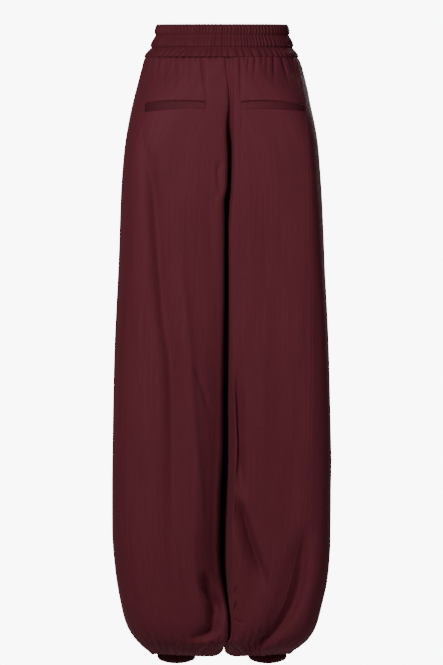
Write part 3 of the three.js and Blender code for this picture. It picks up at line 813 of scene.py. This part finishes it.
surfaces = {}
for leg in ("left", "right"):
    surface = legSurface(leg)
    surface["normals"] = outwardNormals(surface["points"], surface["hand"])
    surface["heights"] = clothHeights(surface)
    surface["cloth"] = surface["points"] + surface["normals"] * surface["heights"][:, :, None]
    surfaces[leg] = surface
    for face in ("back", "front"):
        makePanel(surface, face)
print("stage: panels")


# Pocket welts: strips of folded cloth that lie on the back panels
def onCloth(surface, xs, downs):
    # Points of the back of the cloth under a grid of (across, down) places, and the way out there. The
    # cloth's rows are resampled at each x first, and then between rows.
    first = np.searchsorted(surface["downs"], downs.min()) - 3
    last = np.searchsorted(surface["downs"], downs.max()) + 3
    columns = slice(30, garment["backColumns"] + 1)
    points = surface["points"][first:last, columns]
    normals = surface["normals"][first:last, columns]
    keys = np.maximum.accumulate(surface["hand"] * points[:, :, 0], axis=1)
    keys = keys + 1e-7 * np.arange(keys.shape[1])
    order = np.argsort(surface["hand"] * xs)
    wanted = np.broadcast_to((surface["hand"] * xs)[order], (len(keys), len(xs)))
    layers = [points[:, :, k] for k in range(3)] + [normals[:, :, k] for k in range(3)]
    atX = [layer[:, np.argsort(order)].T for layer in alongRows(keys, wanted, *layers)]
    rows = np.broadcast_to(surface["downs"][first:last], atX[0].shape)
    found = alongRows(rows, downs, *atX)
    return np.stack(found[:3], axis=2), unit(np.stack(found[3:], axis=2))


def makeWelt(leg):
    s = weltSettings
    upper, lower = weltLines(leg)
    xs = np.linspace(upper[0][0] + s["endInset"], upper[-1][0] - s["endInset"], s["columns"])
    top, bottom = smoothTable(upper, xs), smoothTable(lower, xs)
    across = np.linspace(0, 1, s["rows"])[None, :]
    downs = blend(top, bottom, across)
    base, out = onCloth(surfaces[leg], xs, downs)
    endness = np.minimum(xs - xs[0], xs[-1] - xs)[:, None]
    rounded = np.sqrt(1 - (1 - np.clip(across / s["foldShare"], 0, 1)) ** 2) * 0.5 + 0.5
    outwards = (np.abs(xs) - np.abs(xs).min()) / np.ptp(xs)
    thickness = blend(s["thickInside"], s["thickOutside"], outwards ** s["thickPower"])[:, None]
    lift = s["lift"] + thickness * rounded * (1 - s["taper"] * across)
    lift = lift * smoothstep(-0.5, 2.5, endness)
    outer = base + out * lift[:, :, None]
    inner = base + out * s["backLift"]
    ring = np.concatenate([outer, inner[:, ::-1]], axis=1)
    rows, count = ring.shape[:2]
    u = np.broadcast_to(xs[:, None], (rows, count))
    v = np.concatenate([downs, downs[:, ::-1] + 20], axis=1)
    faces = gridFaces(rows, count, closedColumns=True)
    half = count // 2
    k = np.arange(half - 1)
    cap = np.stack([k, k + 1, count - 2 - k, count - 1 - k], axis=1)
    end = cap[:, ::-1] + (rows - 1) * count
    faces = np.vstack([faces, cap, end])[:, ::-1]
    # painted shade: the colour darkens towards the welt's outer end
    paintedShading = blend(1.0, s["outerPaintedShade"], outwards ** s["paintedShadePower"])
    paintedShade = np.broadcast_to(paintedShading[:, None], (rows, count)).astype(np.float32)
    piece = writeMesh("cloth_welt_" + leg, ring, faces, np.stack([u, -v], axis=2), paintedShade)
    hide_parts("welt_" + leg)
    # the welt's material is coloured darker as painted shade
    dress(piece, "welt_cloth")


for leg in ("left", "right"):
    makeWelt(leg)
print("stage: welts")


# Rings of gathered cloth over elastic
waistbandSettings = {
    "columns": 1000,
    "channelGathers": 106,
    "stripGathers": 62,
    "ribPower": 0.7,
    "fullness": 1.25,  # how much longer the cloth is than the elastic
    "leans": (0.34, -0.12),  # of the strip's gathers: outwards on the left, nearly upright on the right
    "unevenEdge": 0.9,
    "square": 2.15,
    "shift": [(-18, 1.8), (0, 2.2), (20, 1.8), (34, 1.2), (38, 1.0)],  # to the right, by the distance down
}
# The waistband's closed profile: down, how far out, depth of the channel's gathers, depth of the strip's
waistbandProfile = [
    (38.0, 0.0, 0.0, 1.6), (36.8, 0.9, 0.0, 2.6), (34.0, 1.5, 0.0, 3.2), (31.0, 1.7, 0.0, 3.2),
    (28.0, 1.3, 0.2, 2.9), (25.2, 0.7, 0.5, 2.3), (23.0, 0.2, 0.9, 1.3), (21.8, -0.1, 1.1, 0.4),
    (20.8, 0.8, 1.6, 0.0), (19.0, 2.0, 2.5, 0.0), (16.0, 2.3, 3.1, 0.0), (12.0, 1.9, 3.1, 0.0),
    (8.0, 1.2, 3.1, 0.0), (4.8, 0.6, 2.8, 0.0), (2.2, 0.3, 2.1, 0.0), (0.6, 0.1, 1.4, 0.0),
    (-0.3, 0.2, 1.1, 0.0), (-1.2, 0.9, 1.5, 0.0), (-3.2, 1.7, 2.4, 0.0), (-6.4, 2.0, 3.0, 0.0),
    (-10.0, 1.9, 3.0, 0.0), (-13.4, 1.6, 2.6, 0.0), (-16.0, 1.0, 2.0, 0.0), (-17.6, 0.1, 1.4, 0.0),
    (-18.2, -1.4, 0.9, 0.0), (-17.6, -3.4, 0.6, 0.0), (-14.0, -5.0, 0.6, 0.0), (-8.0, -5.6, 0.7, 0.0),
    (-1.0, -4.6, 0.4, 0.0), (6.0, -5.6, 0.7, 0.0), (14.0, -5.6, 0.7, 0.0), (21.6, -4.6, 0.4, 0.0),
    (30.0, -4.8, 0.0, 0.7), (37.0, -4.4, 0.0, 0.6), (38.8, -2.8, 0.0, 0.5),
]


def ovalRing(downs, share, square):
    # Points round the garment's plain oval: rows of downs, columns of share, which starts at the middle of
    # the back and goes round by the wearer's right
    at = sectionAt(downs)
    angle = 2 * np.pi * share[None, :]
    s, c = np.sin(angle), np.cos(angle)
    x = at["middleX"] * (1 - np.abs(s)) + at["side"] * np.sign(s) * np.abs(s) ** (2 / square)
    x = x + smoothTable(waistbandSettings["shift"], downs)
    depth = np.where(c > 0, at["back"], at["front"])
    y = -depth * np.sign(c) * np.abs(c) ** (2 / square)
    return np.stack([x, y, np.broadcast_to(at["z"], x.shape)], axis=2)


def evenShares(square, count):
    # Shares round the oval that are equally far apart along the cloth, measured at the elastic
    fine = np.linspace(0, 1, 8001)
    ring = ovalRing(np.array([0.0]), fine, square)[0]
    passed = np.concatenate([[0], np.cumsum(np.linalg.norm(np.diff(ring, axis=0), axis=1))])
    wanted = np.linspace(0, passed[-1], count, endpoint=False)
    return np.interp(wanted, passed, fine), wanted, passed[-1]


def levelNormals(ring):
    along = np.roll(ring, -1, axis=1) - np.roll(ring, 1, axis=1)
    return unit(np.stack([along[..., 1], -along[..., 0], np.zeros_like(along[..., 0])], axis=2))


def ribHeight(length, total, count, seed, power):
    phase, strength = gatherPhase(length, total, count, seed)
    return strength * (np.abs(np.sin(np.pi * phase)) ** power - 0.45)


def profileCurve(rows, perStep):
    # A smooth closed curve through the rows of a profile, each column alike: Catmull-Rom
    p = np.array(rows, float)
    t = np.linspace(0, 1, perStep, endpoint=False)[None, :, None]
    a, b, c, d = [np.roll(p, k, axis=0)[:, None, :] for k in (1, 0, -1, -2)]
    bend = 2 * a - 5 * b + 4 * c - d
    curve = 0.5 * (2 * b + (c - a) * t + bend * t**2 + (3 * b - a - 3 * c + d) * t**3)
    return curve.reshape(-1, p.shape[1])


def writeRing(name, points, length, height, flip):
    rows, columns = points.shape[:2]
    uv = np.stack(np.broadcast_arrays(length[None, :], height[:, None]), axis=2)
    faces = gridFaces(rows, columns, closedRows=True, closedColumns=True, flip=flip)
    return writeMesh(name, points, faces, uv)


def makeWaistband():
    s = waistbandSettings
    share, length, total = evenShares(s["square"], s["columns"])
    down, out, channel, strip = profileCurve(waistbandProfile, 2).T
    ring = ovalRing(down, share, s["square"])
    normal = levelNormals(ring)
    upper = ribHeight(length, total, s["channelGathers"], 3, s["ribPower"])
    lower = ribHeight(length + 1.5 * np.sin(length / 31), total, s["channelGathers"], 3, s["ribPower"])
    lower = 0.75 * lower + 0.35 * ribHeight(length, total, s["channelGathers"] + 9, 5, s["ribPower"])
    inUpper = smoothstep(1.5, -2.5, down)[:, None]
    ribs = blend(lower[None, :], upper[None, :], inUpper)
    leaning = np.where(length > total / 2, *s["leans"]) * np.abs(np.sin(2 * np.pi * length / total)) ** 0.5
    leaning = leaning * (1 + 0.5 * np.sin(length / 17) * np.sin(length / 41))
    slanted = length[None, :] + leaning[None, :] * (down[:, None] - 30)
    coarse = ribHeight(slanted % total, total, s["stripGathers"], 8, s["ribPower"])
    lift = out[:, None] + channel[:, None] * ribs + strip[:, None] * coarse
    points = ring + normal * lift[:, :, None]
    points[:, :, 2] -= s["unevenEdge"] * coarse * smoothstep(33, 38, down)[:, None]
    points[:, :, 2] += s["unevenEdge"] * upper[None, :] * smoothstep(-13, -18, down)[:, None]
    piece = writeRing("cloth_waistband", points, length, -down, True)
    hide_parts("waistband")
    dress(piece, "waistband_cloth")
    return points, normal, down


waistbandPoints, waistbandNormals, waistbandDowns = makeWaistband()
print("stage: waistband")


cuffSettings = {"centre": {"left": -76.5, "right": 80.0}, "radius": 32, "height": 36, "fullness": 1.3,
                "columns": 400, "gathers": 27, "ribPower": 0.8, "sideLift": 5.0, "sidePower": 2.2,
                "ribLift": 0.4}
# The cuff's closed profile: height, radius, depth of its gathers, how far its low edge lifts at the sides
cuffProfile = [
    (-1046.0, 31.0, 0.5, 0.0), (-1052.0, 31.5, 0.9, 0.0), (-1058.0, 31.4, 1.3, 0.0),
    (-1064.0, 32.0, 1.6, 0.0), (-1069.0, 32.4, 1.8, 0.4), (-1073.5, 31.8, 1.8, 0.7),
    (-1077.0, 30.2, 1.5, 0.9), (-1079.6, 28.0, 1.1, 1.0), (-1079.8, 26.2, 0.8, 1.0),
    (-1077.5, 25.4, 0.8, 0.9), (-1070.0, 26.0, 0.9, 0.5), (-1060.0, 26.4, 0.9, 0.0),
    (-1050.0, 27.0, 0.7, 0.0), (-1045.2, 28.8, 0.5, 0.0),
]


def makeCuff(leg):
    s = cuffSettings
    centre = s["centre"][leg]
    z, radius, gather, lifts = profileCurve(cuffProfile, 3).T
    angle = np.linspace(0, 2 * np.pi, s["columns"], endpoint=False)
    length, total = angle * s["radius"], 2 * np.pi * s["radius"]
    ribs = ribHeight(length, total, s["gathers"], 13 if leg == "left" else 17, s["ribPower"])
    ribs = gather[:, None] * ribs[None, :]
    r = radius[:, None] + ribs
    sideways = s["sideLift"] * np.abs(np.cos(angle)) ** s["sidePower"]
    height = z[:, None] + lifts[:, None] * (sideways[None, :] + s["ribLift"] * ribs)
    points = np.stack([centre + r * np.cos(angle), r * np.sin(angle), height], axis=2)
    piece = writeRing("cloth_cuff_" + leg, points, length, z, False)
    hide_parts("cuff_" + leg)
    # the cuff's material carries painted shade, darker than the cloth
    dress(piece, "cuff_cloth")


for leg in ("left", "right"):
    makeCuff(leg)
print("stage: cuffs")


# Stitches along the two rows that hold the waistband's elastic
stitchSettings = {"length": 2.7, "pitch": 3.7, "radius": 0.3, "lift": 0.12, "sides": 6}


def makeStitches(name, path, normals):
    # Each stitch is a small closed capsule that lies along the path
    s = stitchSettings
    looped = np.vstack([path, path[:1]])
    passed = np.concatenate([[0], np.cumsum(np.linalg.norm(np.diff(looped, axis=0), axis=1))])
    count = int(passed[-1] / s["pitch"])
    centres = np.linspace(0, passed[-1], count, endpoint=False)

    def sample(values, at):
        closed = np.vstack([values, values[:1]])
        return np.stack([np.interp(at % passed[-1], passed, closed[:, k]) for k in range(3)], axis=-1)

    start, end = sample(path, centres - s["length"] / 2), sample(path, centres + s["length"] / 2)
    middle = sample(path, centres)
    outwards = unit(sample(normals, centres))
    along = unit(end - start)
    upwards = unit(np.cross(along, outwards))
    stations = np.array([(-0.5, 0.35), (-0.4, 0.85), (-0.2, 1.0), (0.2, 1.0), (0.4, 0.85), (0.5, 0.35)])
    angle = np.linspace(0, 2 * np.pi, s["sides"], endpoint=False)
    sag = 1 - (2 * stations[:, 0]) ** 2
    out = s["lift"] + s["radius"] * (0.5 * sag[:, None] + stations[:, 1:] * np.cos(angle)[None, :])
    up = s["radius"] * stations[:, 1:] * np.sin(angle)[None, :]
    shape = (
        middle[:, None, None, :]
        + along[:, None, None, :] * (stations[:, 0] * s["length"])[None, :, None, None]
        + outwards[:, None, None, :] * out[None, :, :, None]
        + upwards[:, None, None, :] * up[None, :, :, None]
    )
    rings, sides = len(stations), s["sides"]
    body = gridFaces(rings, sides, closedColumns=True)
    caps = np.array([(0, 1, 2, 3), (0, 3, 4, 5)])
    one = np.vstack([body, caps, caps[:, ::-1] + (rings - 1) * sides])
    faces = (one[None] + np.arange(count)[:, None, None] * rings * sides).reshape(-1, 4)
    piece = writeMesh(name, shape, faces, shape[..., [0, 2]])
    piece.data.materials.append(materials["thread"])


for name, level in (("stitchesUpper", -0.3), ("stitchesLower", 21.6)):
    outside = len(waistbandDowns) // 2
    row = int(np.argmin(np.abs(waistbandDowns[:outside] - level)))
    makeStitches(name, waistbandPoints[row], waistbandNormals[row])
print("stage: stitches")


# Light and floor
lightSettings = {
    "seenBackdrop": 9.0,
    "ambient": 0.06,
    "lamps": [
        ("keyLight", (-1.0, -1.95, 0.62), 0.7, 40),
        ("fillLight", (1.6, -1.6, 0.15), 1.1, 8.0),
        ("frontLight", (0.3, 2.2, 0.6), 1.6, 42),
    ],
    "aim": (0, 0, -0.45),
    "floorZ": -1.45,
    "floorRadius": 1.8,
    "floorSides": 96,
    "floorPaint": 0.6,
}


def makeStage():
    s = lightSettings
    scene = bpy.context.scene
    world = bpy.data.worlds.new("studio")
    scene.world = world
    world.use_nodes = True
    world.node_tree.nodes.clear()
    add = nodeTree(world.node_tree)
    seen = add("ShaderNodeBackground", {"Color": (1, 1, 1, 1), "Strength": s["seenBackdrop"]})
    lit = add("ShaderNodeBackground", {"Color": (1, 1, 1, 1), "Strength": s["ambient"]})
    ray = add("ShaderNodeLightPath")
    mix = add("ShaderNodeMixShader", {0: ray.outputs["Is Camera Ray"], 1: lit.outputs[0],
                                      2: seen.outputs[0]})
    add("ShaderNodeOutputWorld", {"Surface": mix.outputs[0]})
    for name, place, size, power in s["lamps"]:
        lamp = bpy.data.lights.new(name, "AREA")
        lamp.shape = "SQUARE"
        lamp.size = size
        lamp.energy = power
        holder = bpy.data.objects.new(name, lamp)
        scene.collection.objects.link(holder)
        holder.location = place
        aim = Vector(s["aim"]) - Vector(place)
        holder.rotation_euler = aim.to_track_quat("-Z", "Y").to_euler()
    angle = np.linspace(0, 2 * np.pi, s["floorSides"], endpoint=False)
    ring = np.stack([np.cos(angle), np.sin(angle), 0 * angle], axis=1) * s["floorRadius"]
    ring[:, 2] = s["floorZ"]
    mesh = bpy.data.meshes.new("floor")
    mesh.from_pydata([tuple(p) for p in ring], [], [tuple(range(len(ring)))])
    floor = bpy.data.objects.new("floor", mesh)
    scene.collection.objects.link(floor)
    paint = bpy.data.materials.new("palePaint")
    paint.use_nodes = True
    shader = paint.node_tree.nodes["Principled BSDF"]
    shader.inputs["Base Color"].default_value = (s["floorPaint"],) * 3 + (1,)
    shader.inputs["Roughness"].default_value = 0.9
    mesh.materials.append(paint)


makeStage()
print("stage: light and floor")
